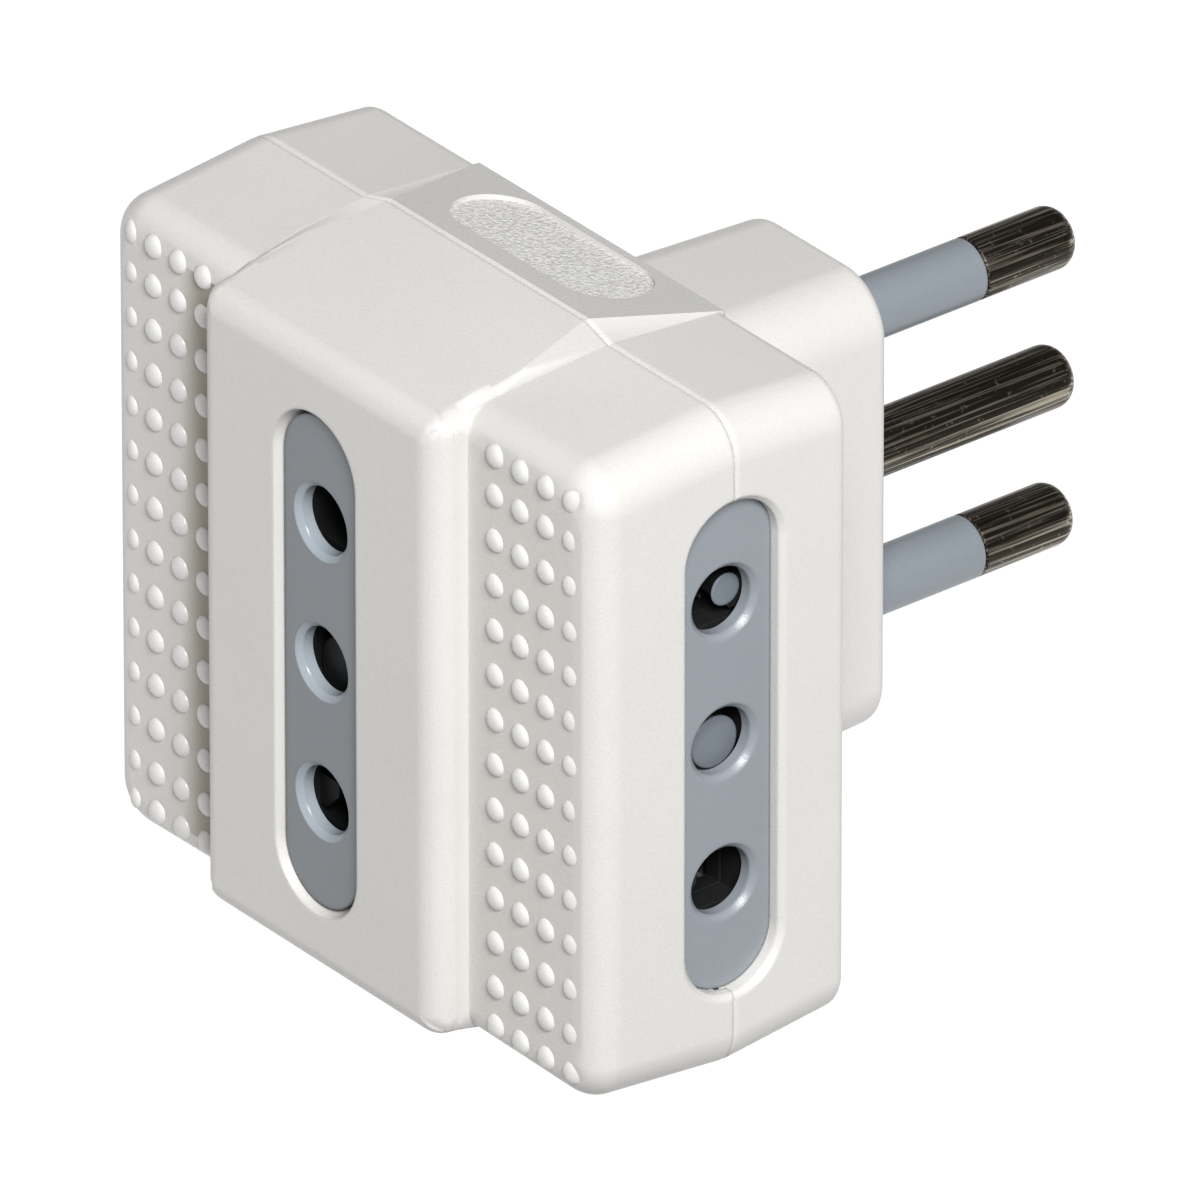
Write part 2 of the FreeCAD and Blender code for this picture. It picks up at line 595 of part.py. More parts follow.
def socket_insert(spot):
    """Plate with three holes that fills the opening, with a tray behind it."""
    body = new_body(spot + "_socket_insert")
    seat = "(wall - block_depth + front_plate)" if spot == "front" else "(wall + side_draft - half_width + side_plate)"
    plate = new_sketch(body, "YZ_Plane", spot + "_plate")
    stadium(plate, "slot_width - fit_gap", "slot_length - fit_gap")
    pad(body, plate, "plate_wall", reverse=True)
    flange = new_sketch(body, "YZ_Plane", spot + "_flange", "0 - %s" % seat)
    half = "slot_width + tray_wall"
    foot = "0 - tray_foot"
    tray = [(half, foot), (half, "tray_top"), ("0 - (%s)" % half, "tray_top"), ("0 - (%s)" % half, foot)]
    polygon(flange, tray)
    pad(body, flange, "tray_depth - %s" % seat, reverse=True)
    doc.recompute()
    chamber = new_sketch(body, "YZ_Plane", spot + "_chamber", "0 - tray_depth")
    side = "slot_width"
    low = "0 - (tray_foot - tray_wall)"
    top = "tray_top - tray_wall"
    polygon(chamber, [(side, low), (side, top), ("0 - " + side, top), ("0 - " + side, low)])
    pocket(body, chamber, "tray_depth - plate_wall", reverse=True)
    holes = new_sketch(body, "YZ_Plane", spot + "_holes")
    for level in ("pole_pitch", "0", "0 - pole_pitch"):
        circle(holes, "0", level, "hole_radius")
    pocket(body, holes, "2 * plate_wall")
    relief = new_sketch(body, "YZ_Plane", spot + "_relief", "0 - plate_wall")
    for level in ("pole_pitch", "0", "0 - pole_pitch"):
        square(relief, level, "hole_relief")
    pocket(body, relief, "plate_wall - hole_wall", reverse=True)
    lips = lambda e: flat_at(e, "x", 0) and isinstance(e.Curve, Part.Circle) and e.Curve.Radius < S["slot_width"] - 1
    dress(body, "Chamfer", lips, "Size", "hole_lip")
    place(body, spot)
    return body


def guide_plate(spot):
    """Plate that closes the tray behind the shutter and leads the pins on."""
    body = new_body(spot + "_guide_plate")
    back = "0 - (tray_depth - guide_wall)"
    sketch = new_sketch(body, "YZ_Plane", spot + "_guide", back)
    side = "(slot_width - fit_gap)"
    low = "0 - (tray_foot - tray_wall - fit_gap)"
    top = "tray_top - tray_wall - fit_gap"
    polygon(sketch, [(side, low), (side, top), ("0 - " + side, top), ("0 - " + side, low)])
    for level in ("pole_pitch", "0", "0 - pole_pitch"):
        square(sketch, level, "guide_window")
    pad(body, sketch, "guide_wall", reverse=True)
    place(body, spot)
    return body


def shutter(spot):
    """Ladder-shaped slider: two rails, four webs, a disc and two tongues."""
    body = new_body(spot + "_shutter")
    start = "0 - shutter_face"
    outer = "(slot_width - shutter_gap)"
    inner = "(slot_width - shutter_gap - shutter_rail)"
    foot = "0 - shutter_foot"
    top = "(tray_top - tray_wall)"
    rails = new_sketch(body, "YZ_Plane", spot + "_rails", "0 - (plate_wall + shutter_gap)")
    for sign in ("", "0 - "):
        a, b = sign + inner, sign + outer
        polygon(rails, [(a, foot), (b, foot), (b, top), (a, top)])
    upper = "pole_pitch - hole_radius - shutter_gap"
    middle = "0 - (shutter_drop + disc_radius)"
    pad(body, rails, "shutter_face + shutter_wall - plate_wall - shutter_gap", reverse=True)
    webs = new_sketch(body, "YZ_Plane", spot + "_webs", start)
    reach = "(slot_width - shutter_gap - shutter_rail / 2)"
    for low, high in ((top + " - web_height", top), ("(%s) - web_height" % upper, upper),
                      (middle, "(%s) + web_height" % middle), (foot, "(%s) + web_height" % foot)):
        polygon(webs, [(reach, low), (reach, high), ("0 - " + reach, high), ("0 - " + reach, low)])
    pad(body, webs, "shutter_wall", reverse=True)
    disc = new_sketch(body, "YZ_Plane", spot + "_disc", start)
    circle(disc, "0", "0 - shutter_drop", "disc_radius")
    pad(body, disc, "shutter_wall", reverse=True)
    for level, sign, tag in (("pole_pitch", "", "line"), ("(0 - pole_pitch)", "0 - ", "neutral")):
        tongue_sketch = new_sketch(body, "YZ_Plane", "%s_%s_tongue" % (spot, tag), start)
        root = sign + reach
        near = sign + "(slot_width - shutter_gap - shutter_rail / 2 - tongue_width)"
        tip = sign + "(slot_width - shutter_gap - shutter_rail / 2 - tongue_width / 2)"
        upper_side = level + " + web_height / 4"
        low = level + " - tongue_height"
        shoulder = level + " - tongue_height / 3"
        polygon(tongue_sketch, [(root, upper_side), (near, upper_side), (near, shoulder), (tip, low), (root, low)])
        pad(body, tongue_sketch, "shutter_wall", reverse=True)
    place(body, spot)
    return body


def shutter_spring(spot):
    """Zigzag of steel strip between the tray's floor and the shutter's foot."""
    body = new_body(spot + "_shutter_spring")
    floor = "(0 - tray_foot + tray_wall)"
    rise = "((tray_foot - tray_wall - shutter_foot - spring_sheet) / 4)"
    middle = "(plate_wall + tray_depth - guide_wall) / 2"
    sketch = new_sketch(body, "YZ_Plane", spot + "_zigzag", "0 - (%s - spring_depth / 2)" % middle)
    inner = "spring_reach * (1 - spring_sheet / %s)" % rise

    def corner(side, step, part, reach="spring_reach"):
        return "%s * %s" % (side, reach), "%s + %d * %s + %s * spring_sheet" % (floor, step, rise, part)

    outline = [corner(-1, 0, 0), corner(1, 1, 0), corner(1, 1, 1), corner(-1, 2, 0.5, inner), corner(1, 3, 0),
               corner(1, 3, 1), corner(-1, 4, 1), corner(-1, 4, 0), corner(1, 3, 0.5, inner), corner(-1, 2, 1),
               corner(-1, 2, 0), corner(1, 1, 0.5, inner), corner(-1, 0, 1)]
    polygon(sketch, outline)
    pad(body, sketch, "spring_depth", reverse=True)
    place(body, spot)
    return body


def contact_clip(spot, pole, level):
    """Folded brass channel, slit along its top, on a flat foot on its strip."""
    body = new_body("%s_%s_clip" % (spot, pole))
    start = "0 - clip_start"
    ring = new_sketch(body, "YZ_Plane", body.Name + "_ring", start)
    square(ring, "0", "(clip_grip + clip_wall)")
    pad(body, ring, "clip_length", reverse=True)
    foot = new_sketch(body, "YZ_Plane", body.Name + "_foot", start)
    polygon(foot, [("clip_foot", "0 - foot_drop"), ("clip_foot", "0 - clip_grip"),
                   ("0 - clip_foot", "0 - clip_grip"), ("0 - clip_foot", "0 - foot_drop")])
    pad(body, foot, "clip_length", reverse=True)
    doc.recompute()
    bore = new_sketch(body, "YZ_Plane", body.Name + "_bore", start)
    square(bore, "0", "clip_grip")
    pocket(body, bore, "2 * clip_length")
    slit = new_sketch(body, "YZ_Plane", body.Name + "_slit", start)
    polygon(slit, [("clip_slit / 2", "0"), ("clip_slit / 2", "2 * clip_grip"),
                   ("0 - clip_slit / 2", "2 * clip_grip"), ("0 - clip_slit / 2", "0")])
    pocket(body, slit, "2 * clip_length")
    place(body, spot, level)
    return body


# Brass parts of one pole

def bus_strip(pole, level):
    """Cross-shaped strip under the three clips, with a lug for the pin."""
    body = new_body(pole + "_bus_strip")
    side_end = "(side_plate - clip_start)"
    front_end = "0 - (front_plate - clip_start)"
    lug_back = "lug_place + strip_wall"
    w = "strip_half"
    n = "0 - strip_half"
    outline = [(w, front_end), (w, n), (side_end, n), (side_end, w), (w, w), (w, lug_back),
               (n, lug_back), (n, w), ("0 - " + side_end, w), ("0 - " + side_end, n), (n, n), (n, front_end)]
    base = new_sketch(body, "XY_Plane", pole + "_strip", "0 - foot_drop")
    polygon(base, outline)
    pad(body, base, "strip_wall", reverse=True)
    lug = new_sketch(body, "XZ_Plane", pole + "_lug", "0 - lug_place")
    polygon(lug, [(w, "0 - foot_drop - strip_wall"), (w, "lug_top"), (n, "lug_top"),
                  (n, "0 - foot_drop - strip_wall")])
    pad(body, lug, "strip_wall", reverse=True)
    doc.recompute()
    hole = new_sketch(body, "XZ_Plane", pole + "_lug_hole", "0 - lug_place")
    circle(hole, "0", "0", "rivet_radius")
    pocket(body, hole, "2 * strip_wall")
    bind(body, "Placement.Base.z", level)
    return body


def plug_pin(pole, level, sleeved):
    """Turned pin: rivet head, collar behind the end wall, round tip."""
    body = new_body(pole + "_pin")
    sketch = new_sketch(body, "XY_Plane", pole + "_pin_half")
    head = "lug_place - head_height"
    shoulder = "lug_place + strip_wall"
    collar_end = "(plug_reach - plug_wall)"
    collar = "(plug_reach - plug_wall - collar_width)"
    end = "plug_reach + pin_length"
    outline = [("0", head), ("head_radius", head), ("head_radius", "lug_place"), ("rivet_radius", "lug_place"),
               ("rivet_radius", shoulder), ("pin_neck", shoulder), ("pin_neck", collar),
               ("collar_radius", collar), ("collar_radius", collar_end)]
    if sleeved:
        step = "plug_reach + sleeve_length"
        outline += [("pin_core", collar_end), ("pin_core", step), ("pin_radius", step)]
    else:
        outline += [("pin_seat", collar_end), ("pin_seat", "plug_reach"), ("pin_radius", "plug_reach")]
    outline += [("pin_radius", end + " - pin_tip"), ("pin_radius - pin_tip / 2.6", end + " - pin_tip / 3.4"),
                ("pin_radius - pin_tip", end), ("0", end)]
    polygon(sketch, outline)
    revolve(body, sketch, "V_Axis")
    bind(body, "Placement.Base.z", level)
    return body


def pin_sleeve(pole, level):
    """Insulating sleeve on a live pin, thicker where the end wall holds it."""
    body = new_body(pole + "_pin_sleeve")
    sketch = new_sketch(body, "XY_Plane", pole + "_sleeve_half")
    start = "(plug_reach - plug_wall)"
    end = "plug_reach + sleeve_length"
    polygon(sketch, [("pin_core", start), ("pin_seat", start), ("pin_seat", "plug_reach"),
                     ("pin_radius", "plug_reach"), ("pin_radius", end), ("pin_core", end)])
    revolve(body, sketch, "V_Axis")
    bind(body, "Placement.Base.z", level)
    return body


POLES = [("line", "pole_pitch"), ("earth", "0"), ("neutral", "0 - pole_pitch")]
pieces = [front_shell(), rear_shell()]
for spot in PLACES:
    pieces.append(socket_insert(spot))
    pieces.append(guide_plate(spot))
    pieces.append(shutter(spot))
    pieces.append(shutter_spring(spot))
for pole, level in POLES:
    pieces.append(bus_strip(pole, level))
    pieces.append(plug_pin(pole, level, pole != "earth"))
    if pole != "earth":
        pieces.append(pin_sleeve(pole, level))
    for spot in PLACES:
        pieces.append(contact_clip(spot, pole, level))
doc.recompute()

# Every object has to be sound before anything is written.
for thing in doc.Objects:
    if "Invalid" in thing.State or "Error" in thing.State:
        raise RuntimeError("%s is %s" % (thing.Name, thing.State))
for piece in pieces:
    if piece.Shape.isNull() or not piece.Shape.isValid():
        raise RuntimeError(piece.Label + " has no sound shape")
os.makedirs("parts", exist_ok=True)
for piece in pieces:
    shape = piece.Shape.copy()
    shape.translate(V(0, -S["plug_reach"], 0))
    shape.exportStep("parts/%s.step" % piece.Label)
    print("%-22s %d solid  %8.1f mm3" % (piece.Label, len(shape.Solids), shape.Volume))
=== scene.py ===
import json
import math

import bmesh
import bpy
from mathutils import Matrix, Vector


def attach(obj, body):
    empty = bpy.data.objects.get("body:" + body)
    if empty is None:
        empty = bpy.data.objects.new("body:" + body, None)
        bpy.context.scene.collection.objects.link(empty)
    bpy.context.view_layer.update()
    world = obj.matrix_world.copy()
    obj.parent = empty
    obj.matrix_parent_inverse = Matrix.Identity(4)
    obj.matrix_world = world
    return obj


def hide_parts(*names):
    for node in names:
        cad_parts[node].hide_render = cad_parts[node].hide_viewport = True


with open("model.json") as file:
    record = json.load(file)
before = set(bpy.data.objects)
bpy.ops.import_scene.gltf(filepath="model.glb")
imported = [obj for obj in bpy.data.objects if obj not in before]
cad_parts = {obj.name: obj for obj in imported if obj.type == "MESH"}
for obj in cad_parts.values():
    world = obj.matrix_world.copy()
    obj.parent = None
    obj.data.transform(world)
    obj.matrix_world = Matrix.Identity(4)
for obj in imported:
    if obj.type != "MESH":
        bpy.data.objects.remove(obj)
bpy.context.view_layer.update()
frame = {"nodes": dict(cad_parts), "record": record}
MM = 0.001
ROOT = "housing"

# Places in the frame, in millimetres: the seam lies this far before the plug's end
# face, which is the frame's origin. The front looks along -Y and up is +Z.
SEAM = -24.9
DOT_FACE = SEAM - 10.5
BLOCK_FACE = SEAM - 13.1
POLES = {"line": 9.5, "earth": 0.0, "neutral": -9.5}
# Half width and half height of the raised block at the wings' face.
BLOCK_SIDE = 11.36
BLOCK_TOP = 21.26
# Half heights of the block and of the wings at the seam, and the fall of the wings' tops
# from there to the back face, over that depth.
BLOCK_SEAM = 22.9
SEAM_HEIGHT = 22.2
REAR_DROP = 0.75
REAR_DEPTH = 8.6
PATCH_SINK = 0.3
# Faces of the front plate and of the side plates, and the shutters behind these.
FRONT_PLATE = SEAM - 12.6
SIDE_PLATE = 22.3
SHUTTER_FACE = 1.8
# Half length of the middle line that an opening's lips are measured from.
LIP_LINE = 15.1
# A Mix node's inputs and output for colours.
MIX_A, MIX_B, MIX_OUT = 6, 7, 2


# Colours and materials

def linear(code):
    """Linear RGBA of an sRGB hex colour."""
    values = [int(code[i:i + 2], 16) / 255 for i in (1, 3, 5)]
    return tuple(v / 12.92 if v <= 0.04045 else ((v + 0.055) / 1.055) ** 2.4 for v in values) + (1.0,)


def new_material(name):
    material = bpy.data.materials.new(name)
    material.use_nodes = True
    material.node_tree.nodes.clear()
    return material


def node(material, kind, inputs=None, stops=None, **settings):
    """Add a shader node.

    Inputs, by name or number, take a value or another node's output. Stops are the
    places and colours of a ramp, and settings are the node's own properties.
    """
    tree = material.node_tree
    made = tree.nodes.new("ShaderNode" + kind)
    for key, value in settings.items():
        setattr(made, key, value)
    for key, value in (inputs or {}).items():
        if isinstance(value, bpy.types.NodeSocket):
            tree.links.new(value, made.inputs[key])
        else:
            made.inputs[key].default_value = value
    if stops:
        elements = made.color_ramp.elements
        elements[0].position, elements[0].color = stops[0]
        elements[1].position, elements[1].color = stops[-1]
        for place, colour in stops[1:-1]:
            elements.new(place).color = colour
    return made


def grey(value):
    return (value, value, value, 1.0)


def moulded(name, pale, dark, roughness, grain_mm, grain_depth, edge_mm, scatter=0.0, speckle_low=0.955):
    """Spark-eroded moulded plastic: even colour, cloudy sheen and a fine grain."""
    material = new_material(name)
    place = node(material, "TexCoord").outputs["Object"]
    # cloudy unevenness about 12 mm wide, so that large faces aren't dead flat
    cloud_mm = 12
    clouds = node(material, "TexNoise", {"Vector": place, "Scale": 1 / (cloud_mm * MM), "Detail": 3.0,
                                         "Roughness": 0.55}).outputs[0]
    # speckle of the erosion texture, drawn coarser than the real grain so that it shows
    speckle = node(material, "TexNoise", {"Vector": place, "Scale": 1 / (grain_mm * MM), "Detail": 2.0,
                                          "Roughness": 0.6}).outputs[0]
    cloudy = node(material, "ValToRGB", {0: clouds}, stops=[(0.3, grey(0.62)), (0.7, grey(1.0))]).outputs[0]
    mixed = node(material, "Mix", {0: cloudy, MIX_A: linear(dark), MIX_B: linear(pale)}, data_type="RGBA")
    grains = node(material, "ValToRGB", {0: speckle},
                  stops=[(0.35, grey(speckle_low)), (0.65, grey(1.0))]).outputs[0]
    fine = node(material, "Mix", {0: 1.0, MIX_A: mixed.outputs[MIX_OUT], MIX_B: grains},
                data_type="RGBA", blend_type="MULTIPLY")
    # the sheen changes with the same clouds: a rubbed patch is a little smoother
    sheen = node(material, "MapRange", {0: clouds, "To Min": roughness - 0.05, "To Max": roughness + 0.07})
    # edges catch the light as rounded ones, as a mould never leaves them sharp
    rounded = node(material, "Bevel", {"Radius": edge_mm * MM}, samples=4).outputs[0]
    bump = node(material, "Bump", {"Height": speckle, "Normal": rounded, "Strength": grain_depth,
                                   "Distance": grain_mm * MM * 0.5})
    surface = node(material, "BsdfPrincipled", {
        "Base Color": fine.outputs[MIX_OUT], "Roughness": sheen.outputs[0], "Normal": bump.outputs[0],
        "IOR": 1.53, "Subsurface Weight": scatter, "Subsurface Radius": (1.0, 0.9, 0.75),
        "Subsurface Scale": 0.8 * MM})
    node(material, "OutputMaterial", {"Surface": surface.outputs[0]})
    return material


def metal_with_painted_reflection(name, dark, pale, roughness, streak_mm):
    """Turned and plated pin with painted reflection: dark metal with pale streaks along Y for the
    surroundings that it mirrors.
    """
    material = new_material(name)
    place = node(material, "TexCoord").outputs["Object"]
    # squeeze the pattern along Y so that every blotch becomes a long streak of painted reflection
    squeezed = node(material, "Mapping", {"Vector": place, "Scale": (1.0, 0.012, 1.0)}).outputs[0]
    streaks = node(material, "TexNoise", {"Vector": squeezed, "Scale": 1 / (streak_mm * MM), "Detail": 4.0,
                                          "Roughness": 0.62}).outputs[0]
    # small bright nicks from being pushed into sockets
    nick_mm = 0.5
    nicks = node(material, "TexNoise", {"Vector": place, "Scale": 1 / (nick_mm * MM), "Detail": 2.0,
                                        "Roughness": 0.7}).outputs[0]
    streaky = node(material, "ValToRGB", {0: streaks},
                   stops=[(0.40, linear(dark)), (0.49, linear(dark)), (0.64, linear(pale))]).outputs[0]
    nicked = node(material, "ValToRGB", {0: nicks}, stops=[(0.62, grey(0.0)), (0.74, grey(0.55))]).outputs[0]
    worn = node(material, "Mix", {0: nicked, MIX_A: streaky, MIX_B: linear(pale)}, data_type="RGBA")
    rough = node(material, "MapRange", {0: streaks, "To Min": roughness + 0.12, "To Max": roughness - 0.06})
    bump = node(material, "Bump", {"Height": streaks, "Strength": 0.35, "Distance": 0.03 * MM})
    surface = node(material, "BsdfPrincipled", {
        "Base Color": worn.outputs[MIX_OUT], "Roughness": rough.outputs[0], "Normal": bump.outputs[0],
        "Metallic": 1.0})
    node(material, "OutputMaterial", {"Surface": surface.outputs[0]})
    return material


def sheet_metal(name, tint, roughness):
    """Stamped sheet inside the housing, with dull blotches: brass strips and steel springs."""
    material = new_material(name)
    place = node(material, "TexCoord").outputs["Object"]
    blotch_mm = 3
    blotch = node(material, "TexNoise", {"Vector": place, "Scale": 1 / (blotch_mm * MM), "Detail": 4.0,
                                         "Roughness": 0.6}).outputs[0]
    bright = linear(tint)
    dull = tuple(c * 0.72 for c in bright[:3]) + (1.0,)
    colour = node(material, "ValToRGB", {0: blotch}, stops=[(0.35, dull), (0.65, bright)]).outputs[0]
    rough = node(material, "MapRange", {0: blotch, "To Min": roughness + 0.12, "To Max": roughness})
    surface = node(material, "BsdfPrincipled", {"Base Color": colour, "Roughness": rough.outputs[0],
                                                "Metallic": 1.0})
    node(material, "OutputMaterial", {"Surface": surface.outputs[0]})
    return material


# Warm white ABS with a fine eroded grain: the large pale faces of the photo.
HOUSING = moulded("housing_moulded_abs", "#d2d0cd", "#cac8c5", roughness=0.34,
                  grain_mm=0.16, grain_depth=0.25, edge_mm=0.3, scatter=0.04)
# Lips and rims of the same ABS: glossier, and whiter as a painted highlight.
GLOSSY_HIGHLIGHT_RIM = moulded("housing_glossy_painted_highlight_rim", "#dfdedc", "#d9d8d6", roughness=0.2,
                   grain_mm=0.16, grain_depth=0.1, edge_mm=0.15, scatter=0.04)
# Shoulders beside the raised block: the same finish, a shade paler as painted light on the facets that turn
# to the lamp.
PAINTED_LIGHT_SHOULDER = moulded("housing_painted_light_shoulder", "#dfddda", "#d7d5d2", roughness=0.34,
                   grain_mm=0.16, grain_depth=0.25, edge_mm=0.3)
# Domes: a little paler than the ground as painted light, and glossier for a soft highlight.
PAINTED_LIGHT_DOMES = moulded("housing_painted_light_domes", "#d6d5d3", "#d0cfcd", roughness=0.27,
               grain_mm=0.16, grain_depth=0.1, edge_mm=0.15, scatter=0.04)
# The ground between the domes is duller and a little darker, which sets them off.
GROUND = moulded("housing_dull_ground", "#d3d0cc", "#cbc8c4", roughness=0.5,
                 grain_mm=0.18, grain_depth=0.35, edge_mm=0.3)
# The same ABS on the ramps round the thumb patches: a duller finish, and greyer as painted shade where they
# tilt away from the light.
PAINTED_SHADE_RAMP = moulded("housing_dull_painted_shade_ramp", "#c3c2c0", "#bbbab8", roughness=0.55,
               grain_mm=0.18, grain_depth=0.4, edge_mm=0.2)
# Coarse speckled grain of the thumb patches.
GRIP = moulded("housing_coarse_grip", "#e2e1df", "#d8d7d5", roughness=0.6,
               grain_mm=0.26, grain_depth=1.0, edge_mm=0.2, speckle_low=0.7)
# Blue-grey satin polyamide of the socket plates.
INSERT = moulded("insert_moulded_polyamide", "#8b9197", "#848a91", roughness=0.30,
                 grain_mm=0.13, grain_depth=0.25, edge_mm=0.3)
# Painted shade: a darker copy of the plates' colour for the front plate, which lies deep in its lip and
# mirrors the dark of the room.
PAINTED_SHADE_INSERT = moulded("insert_painted_shade_polyamide", "#7a7f84", "#74797e", roughness=0.30,
                 grain_mm=0.13, grain_depth=0.25, edge_mm=0.3)
# Walls and rims of the front holes: a painted highlight, a paler and glossier copy of the plates' colour
# where they catch the light.
PAINTED_HIGHLIGHT_HOLE_RIM = moulded("insert_painted_highlight_rim", "#99a1a8", "#929aa1", roughness=0.22,
                 grain_mm=0.13, grain_depth=0.1, edge_mm=0.15)
# Near-black painted shade on the trays, guide plates and shutters, which makes the holes read as deep.
PAINTED_SHADE_BLACK = moulded("tray_painted_shade_black", "#151617", "#101112", roughness=0.6,
                 grain_mm=0.2, grain_depth=0.15, edge_mm=0.1)
# Mid-grey acetal of the side shutters' discs and studs, seen only through the holes.
SHUTTER = moulded("shutter_moulded_acetal", "#757c84", "#6d747c", roughness=0.45,
                  grain_mm=0.2, grain_depth=0.15, edge_mm=0.2)
# Pale blue-grey sleeve, smooth and slightly waxy.
SLEEVE = moulded("sleeve_moulded_polyamide", "#828990", "#7b8289", roughness=0.34,
                 grain_mm=0.2, grain_depth=0.1, edge_mm=0.1, scatter=0.05)
# Nickel-plated brass with painted reflection: nearly black where it would mirror the dark side, with pale
# streaks along the pins for the bright side.
PIN = metal_with_painted_reflection("pin_turned_nickel_painted_reflection", "#38332c", "#b3aa9b", roughness=0.30, streak_mm=0.16)
# Bare metal of the hidden parts: yellow brass and bright spring steel.
BRASS = sheet_metal("contact_stamped_brass", "#d8b26a", roughness=0.28)
STEEL = sheet_metal("spring_steel_strip", "#b9bbbd", roughness=0.25)


def painted_corner_shadow(material, corner, full, reach, tint):
    """Painted shadow along a corner at one place on X: a darker tint that fades out on both sides of it."""
    tree = material.node_tree
    surface = next(n for n in tree.nodes if n.bl_idname == "ShaderNodeBsdfPrincipled")
    unshadowed = surface.inputs["Base Color"].links[0].from_socket
    place = node(material, "TexCoord").outputs["Object"]
    across = node(material, "SeparateXYZ", {0: place}).outputs[0]
    shifted = node(material, "Math", {0: across, 1: corner * MM}, operation="SUBTRACT").outputs[0]
    distance = node(material, "Math", {0: shifted}, operation="ABSOLUTE").outputs[0]
    fade = node(material, "MapRange", {0: distance, "From Min": full * MM, "From Max": reach * MM,
                                       "To Min": 1.0, "To Max": 0.0}, interpolation_type="SMOOTHSTEP")
    shadowed = node(material, "Mix", {0: fade.outputs[0], MIX_A: unshadowed, MIX_B: linear(tint)},
                data_type="RGBA", blend_type="MULTIPLY")
    tree.links.new(shadowed.outputs[MIX_OUT], surface.inputs["Base Color"])


# Painted shadow: the left wing is darkened in the corner beside the raised block, where the block's shadow
# falls.
painted_corner_shadow(GROUND, corner=-12.6, full=1.2, reach=3.9, tint="#bab4a6")


# Shapes

def mesh_from(bm, name):
    mesh = bpy.data.meshes.new(name)
    bm.to_mesh(mesh)
    bm.free()
    return mesh


def as_object(name, mesh, material, smooth=True):
    made = bpy.data.objects.new(name, mesh)
    bpy.context.scene.collection.objects.link(made)
    mesh.materials.clear()
    mesh.materials.append(material)
    if smooth:
        mesh.polygons.foreach_set("use_smooth", [True] * len(mesh.polygons))
        mesh.set_sharp_from_angle(angle=math.radians(30))
        # large faces stay flat and roundings run smoothly into them
        flat = made.modifiers.new("flat_faces", "WEIGHTED_NORMAL")
        flat.mode = "FACE_AREA"
        flat.weight = 80
        flat.keep_sharp = True
    return made


def surface_of(name, change=None):
    """Copy of a CAD node's surface with its flat faces in one piece each."""
    bm = bmesh.new()
    bm.from_mesh(frame["nodes"][name].data)
    bmesh.ops.remove_doubles(bm, verts=bm.verts, dist=2e-6)
    if change:
        change(bm)
    bmesh.ops.dissolve_limit(bm, angle_limit=math.radians(0.25), verts=bm.verts, edges=bm.edges,
                             use_dissolve_boundaries=False)
    mesh = mesh_from(bm, name + "_look")
    if "custom_normal" in mesh.attributes:
        mesh.attributes.remove(mesh.attributes["custom_normal"])
    return mesh


def skin(name, material, change=None):
    """Dressed look of a CAD node, made from a copy of its own surface."""
    piece = as_object(name + "_look", surface_of(name, change), material)
    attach(piece, frame_body(name))
    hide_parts(name)
    return piece


def frame_body(name):
    """The body that a CAD node moves with."""
    for body, members in frame["record"]["behaviour"]["bodies"].items():
        if name in members:
            return body
    return ROOT


def revolved(bm, profile, steps, spot):
    """Rings of vertices, joined by faces, for (place, radius) pairs.

    Spot turns a place, a radius and a turn into millimetres in the frame. A radius of 0
    gives a single vertex.
    """
    rings = []
    for along, radius in profile:
        ring = []
        for i in range(steps if radius else 1):
            x, y, z = spot(along, radius, 2 * math.pi * i / steps)
            ring.append(bm.verts.new((x * MM, y * MM, z * MM)))
        rings.append(ring)
    for low, high in zip(rings, rings[1:]):
        for i in range(steps):
            j = (i + 1) % steps
            corners = [low[i % len(low)], low[j % len(low)], high[j % len(high)], high[i % len(high)]]
            unique = list(dict.fromkeys(corners))
            if len(unique) > 2:
                bm.faces.new(unique)
    return rings


def turned(name, profile, height, material, replaced, steps=72):
    """Solid of revolution about a pin's axis from (place along Y, radius) pairs."""
    bm = bmesh.new()
    revolved(bm, profile, steps, lambda along, radius, turn: (
        radius * math.cos(turn), along, height + radius * math.sin(turn)))
    bmesh.ops.recalc_face_normals(bm, faces=bm.faces)
    piece = as_object(name, mesh_from(bm, name), material)
    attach(piece, ROOT)
    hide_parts(replaced)


def arc(centre, radius, start, end, steps):
    """Points of an arc in (along, radius) terms; angles in degrees from +along."""
    points = []
    for i in range(steps + 1):
        turn = math.radians(start + (end - start) * i / steps)
        points.append((centre[0] + radius * math.cos(turn), centre[1] + radius * math.sin(turn)))
    return points


# Housing

def without_dots(bm):
    """Take the eight-sided studs off the dotted faces and close their outlines."""
    before = (DOT_FACE - 0.02) * MM
    beside_block = 12.3 * MM
    studs = [f for f in bm.faces
             if min(v.co.y for v in f.verts) < before and abs(f.calc_center_median().x) > beside_block]
    bmesh.ops.delete(bm, geom=studs, context="FACES")
    loose = [v for v in bm.verts if not v.link_faces]
    bmesh.ops.delete(bm, geom=loose, context="VERTS")
    rims = [e for e in bm.edges if e.is_boundary]
    bmesh.ops.holes_fill(bm, edges=rims, sides=0)


def cut(bm, place, normal, chosen):
    """Split the chosen faces along a plane."""
    faces = [f for f in bm.faces if chosen(f)]
    edges = list({e for f in faces for e in f.edges})
    verts = list({v for f in faces for v in f.verts})
    bmesh.ops.bisect_plane(bm, geom=faces + edges + verts, plane_co=Vector(place) * MM,
                           plane_no=normal, dist=1e-7)


